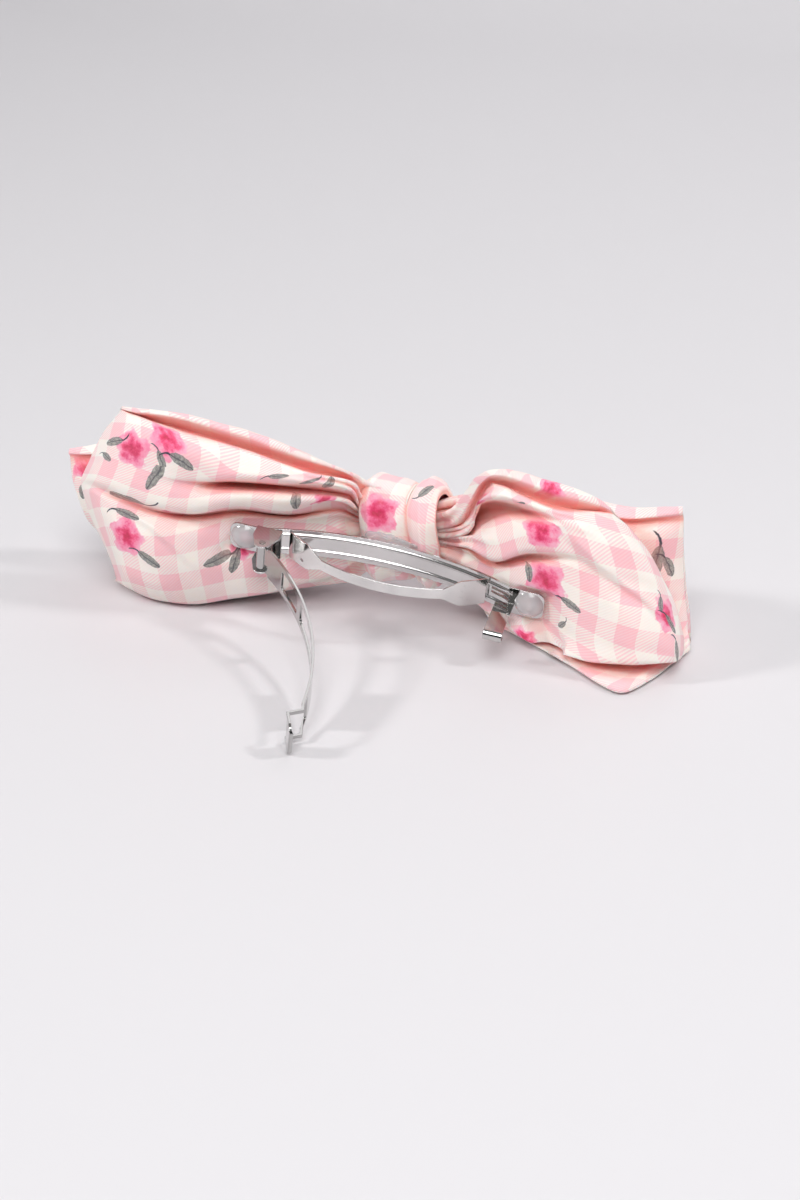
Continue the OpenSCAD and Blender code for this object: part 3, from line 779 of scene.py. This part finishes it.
FAR_PRINTS = {
    "rose": shown(15, (-82.7, 33.2, 3.6, 30)) + shown(16, (72.7, 3, 3.4, 10)) + hidden(
        (-60, 29, 28, 4.6, 10), (-30, 29, 14, 4.4, 40), (-42, 28, 31, 4.2, 40), (-76, 26, 18, 4.2, 70),
        (-20, 28, 26, 3.4, 0), (24, 29, 22, 4.4, 0), (45, 29, 27, 4.4, 30), (40, 29, 9, 4.4, 90),
        (62, 26, 16, 4.4, 50), (-55, 28, 10, 4.2, 20), (50, 1, -12, 4, 10),
    ),
    "leaf": shown(15, (-78, 28, 2.6, 30), (66.6, 26, 3.8, 100)) + hidden(
        (-52, 29, 22, 3.2, 40), (-36, 29, 22, 3.2, 140), (-70, 27, 26, 3, 80), (32, 29, 27, 3.2, 40),
        (52, 28, 20, 3.2, 150), (30, 29, 14, 3.2, 60), (66, 23, 24, 2.8, 20), (-66, 27, 12, 3, 170),
    ),
    "sprig": shown(15, (-84, 26, 2.4, 100), (70, 25, 2.4, 60)) + hidden(
        (-46, 29, 26, 2.6, 100), (-24, 28, 19, 2.6, 20), (38, 29, 20, 2.6, 10), (56, 27, 10, 2.6, 120),
        (-68, 28, 20, 2.6, 0),
    ),
}
KNOT_PRINTS = {
    "rose": shown(8, (-3.4, 29.7, 4.6, 30)) + hidden((4, 29, 22, 4.2, 0), (-4, 26, 8, 3.8, 0)),
    "leaf": shown(14, (8.5, 36.4, 2.2, 60)) + hidden((-5, 28, 27, 2.8, 40), (8, 28, 14, 2.8, 100)),
    "sprig": shown(8, (-5.8, 23, 1.6, 20)) + hidden((2, 27, 30, 2.2, 20)),
}

NEAR_GATHERS, FAR_GATHERS = (24, 1.1), (30, 1.3)
# pressed folds: a line of seen points, depth and width
LEFT_PRESS = [([(-74, 24), (-62, 18), (-50, 8)], 0.8, 2.6)]
RIGHT_PRESS = [([(42.2, 30.2), (50.4, 21.6), (61.8, 14.6), (72.4, 6.8)], 1.5, 3.2)]
# folds with painted warm shade at the bottom: rail, and how far out from the waist they start and stop
LEFT_SHADED_FOLDS, RIGHT_SHADED_FOLDS = [(2, 4, 99), (6, 8, 46), (9, 8, 60)], [(2, 4, 99), (5, 6, 34), (9, 8, 34)]
FAR_SHADED_FOLDS = [(2, 4, 99)]
near = mesh_of("near_loops", [
    loop_grid(LEFT_NEAR, waist=-1, seed=2, pleats=(9, 14), gathers=NEAR_GATHERS, deep=LEFT_SHADED_FOLDS,
              zero=8, seam=15, last_front=14, folds=LEFT_PRESS),
    loop_grid(RIGHT_NEAR, waist=3, seed=5, pleats=(8, 13), gathers=NEAR_GATHERS, deep=RIGHT_SHADED_FOLDS,
              zero=8, seam=15, last_front=14, folds=RIGHT_PRESS),
], NEAR_PRINTS, cloth_material("bow_gingham", 0.06), seed=4)
far = mesh_of("far_loops", [
    loop_grid(LEFT_FAR, waist=-1, seed=8, pleats=(7, 11), gathers=FAR_GATHERS, deep=FAR_SHADED_FOLDS,
              zero=4, seam=6, last_front=6),
    loop_grid(RIGHT_FAR, waist=3, seed=12, pleats=(7, 12), gathers=FAR_GATHERS, deep=FAR_SHADED_FOLDS,
              zero=4, seam=10, last_front=5),
], FAR_PRINTS, cloth_material("bow_gingham_far", -0.04), seed=6)

# ---------------------------------------------------------------- knot
KNOT_WIDE, KNOT_FLAT_WIDE = 19.4, 20
KNOT_Y, KNOT_Z = 18.0, 20.3
KNOT_RY, KNOT_RZ = 10.6, 12.0
KNOT_EDGES = [
    (-0.02, -2.2), (0.0, -0.3), (0.12, 1.0), (0.3, 0.8), (0.5, 0.0), (0.585, -0.5),
    (0.62, -1.0), (0.7, 0.7), (0.82, 1.7), (0.93, 1.1), (1.0, -0.4), (1.02, -2.2),
]  # how far the band stands out at each part of its width
KNOT_TUCK = 0.612  # where one turn of the band tucks under the other


def knot_grid():
    around, wide = ((220, 56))
    w = np.concatenate([[-0.02, -0.012], np.linspace(0, 1, wide), [1.012, 1.02]])
    raised = np.interp(w, *np.transpose(KNOT_EDGES))
    g = np.zeros((around, len(w), 3))
    for i, t in enumerate(np.linspace(0, 2 * np.pi, around, endpoint=False)):
        c, s = math.cos(t), math.sin(t)
        y = -math.copysign(abs(c) ** 0.85, c)
        z = math.copysign(abs(s) ** 0.85, s)
        tilt = 1.4 - 2.2 * max(z, 0)
        for j, q in enumerate(w):
            soft = noise.noise(Vector((q * 2.2, t * 1.3, 3.1))) * 0.7
            soft = soft + noise.noise(Vector((q * 6, t * 2.1, 9.1))) * 0.28
            fold = 0.35 * math.sin(q * 17 + 0.8 * math.sin(t * 2)) * (0.4 + 0.6 * abs(c))
            out = raised[j] + soft + fold * (0 < q < 1)
            x = tilt + (min(max(q, 0), 1) - 0.5) * KNOT_WIDE
            g[i, j] = (x, KNOT_Y + (KNOT_RY + out) * y, KNOT_Z + (KNOT_RZ + out) * z)
    g = clear_base(g.reshape(-1, 3), 0.5).reshape(g.shape)
    step_v = np.linalg.norm(np.roll(g, -1, 0) - g, axis=2)
    v = np.cumsum(step_v, 0) - step_v
    # painted shade along the line where one turn of the band tucks under the other, and on the band's edges
    # where they turn under
    painted_shade = np.exp(-(((w - KNOT_TUCK) / 0.018) ** 2)) + (w < 0) + (w > 1)
    u, painted_shade = (np.broadcast_to(row, v.shape).copy() for row in (w * KNOT_FLAT_WIDE, painted_shade))
    return g, u, v, v + step_v, painted_shade


knot = mesh_of("knot", [knot_grid()], KNOT_PRINTS, cloth_material("knot_gingham", 0.1), seed=9)
paint_hollow_shade([near, far, knot])


# ---------------------------------------------------------------- glue bead between base and knot
def blob(name, centre, radii, seed, material):
    """An uneven drop that follows the curve of the base."""
    bm = bmesh.new()
    bmesh.ops.create_icosphere(bm, subdivisions=5, radius=1)
    for vert in bm.verts:
        p = vert.co.copy()
        k = 1 + 0.28 * noise.noise(p * 1.9 + Vector((seed, 0, 0)))
        k = k + 0.1 * noise.noise(p * 4.6 + Vector((seed, 3, 0)))
        q = np.array(centre) + np.array(p) * np.array(radii) * k
        q[1] += base_depth(q[0]) - SAG
        vert.co = Vector((from_clip(q) + PLACE) * MM)
    me = bpy.data.meshes.new(name)
    bm.to_mesh(me)
    bm.free()
    return place_mesh(me, material)


pad = blob("glue_bead", (-1.0, 7.3, 0.6), (8.5, 0.75, 4.4), seed=2.0, material=FINISH["glue_pad_center"])

# ---------------------------------------------------------------- leaf spring, a copy of the tension spring as it stands; the real one flattens as the arm closes
leaf = nodes["tension_spring"].copy()
leaf.data = nodes["tension_spring"].data.copy()
leaf.name = "leaf_spring"
leaf.parent = None
leaf.matrix_world = nodes["tension_spring"].matrix_world.copy()
bpy.context.scene.collection.objects.link(leaf)

for ob, node, slot in (
    (near, "back_bow_loops", "bow_cloth"),
    (far, "front_bow_loops", "bow_cloth"),
    (knot, "knot_band", "knot_cloth"),
    (pad, "glue_pad_center", "clear_glue"),
    (leaf, "tension_spring", "spring_steel"),
):
    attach(ob, ROOT)
    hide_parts(node)
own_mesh(leaf)

# ---------------------------------------------------------------- floor, light, camera, in metres
scene = bpy.context.scene
FLOOR_FRONT, BEND_FROM, BEND_R, WALL_TOP, HALF_WIDTH = -1.2, 0.62, 0.35, 1.6, 2.2


def strip_mesh(name, profile, half, material):
    """A sheet swept along X from a side profile of (y, z)."""
    verts = [(x, y, z) for y, z in profile for x in (-half, half)]
    faces = [(2 * i, 2 * i + 1, 2 * i + 3, 2 * i + 2) for i in range(len(profile) - 1)]
    me = bpy.data.meshes.new(name)
    me.from_pydata(verts, [], faces)
    return place_mesh(me, material)


turns = np.linspace(0, math.pi / 2, 24)
bend = [(BEND_FROM + BEND_R * math.sin(t), BEND_R - BEND_R * math.cos(t)) for t in turns]
profile = [(FLOOR_FRONT, 0.0), *bend, (BEND_FROM + BEND_R, WALL_TOP)]
sweep = strip_mesh("backdrop", profile, HALF_WIDTH, plain("white_sweep", lin(0.865, 0.858, 0.868), 0.45))


def area(name, az, el, dist, size, power, colour, aim=(0.0, 0.02, 0.02)):
    """A square soft box at an azimuth from the camera side (-Y), positive to the right."""
    light = bpy.data.lights.new(name, "AREA")
    light.shape, light.size = "SQUARE", size
    light.energy, light.color = power, colour
    ob = bpy.data.objects.new(name, light)
    a, e = math.radians(az), math.radians(el)
    away = Vector((math.sin(a) * math.cos(e), -math.cos(a) * math.cos(e), math.sin(e)))
    ob.location = Vector(aim) + dist * away
    ob.rotation_euler = (Vector(aim) - ob.location).to_track_quat("-Z", "Y").to_euler()
    scene.collection.objects.link(ob)


WARM_WHITE, COOL_WHITE = (1, 0.985, 0.98), (0.99, 0.995, 1)
area("left_box", -66, 33, 1.0, 0.13, 3.4, WARM_WHITE)
area("right_box", 98, 44, 1.0, 0.13, 2.9, WARM_WHITE)
area("top_box", 16, 52, 1.2, 0.7, 9.1, COOL_WHITE)
area("back_wash", 0, 70, 0.75, 0.8, 2.2, COOL_WHITE, (0, 1.0, 0.1))

# brightness from straight down to straight up: dark under the horizon, a bright ring over it
SKY = ((0.0, 0.015), (0.38, 0.03), (0.50, 0.85), (0.64, 1.0), (0.80, 0.45), (1.0, 1.0))
SKY_STRENGTH = 0.34
world = Nodes("studio", "worlds")
upright = {0: world.node("TexCoord").outputs["Generated"], "Rotation": (0, math.radians(90), 0)}
height = world.node("TexGradient", {0: world.node("Mapping", upright).outputs[0]}).outputs[0]
glow = world.ramp(height, [(at, (level, level, level, 1)) for at, level in SKY])
scene.world = world.finish(world.node("Background", {0: glow, 1: SKY_STRENGTH}).outputs[0], "OutputWorld")

camera_data = bpy.data.cameras.new("camera")
camera = bpy.data.objects.new("camera", camera_data)
scene.collection.objects.link(camera)
scene.camera = camera
camera_data.sensor_fit = "VERTICAL"
camera_data.sensor_height = 36
camera_data.lens = 81
camera.location = Vector((np.array(CAMERA) + PLACE) * MM)
look = Vector((np.array(TARGET) + PLACE) * MM)
camera.rotation_euler = (look - camera.location).to_track_quat("-Z", "Y").to_euler()

scene.view_settings.view_transform = "Standard"
scene.view_settings.look = "None"
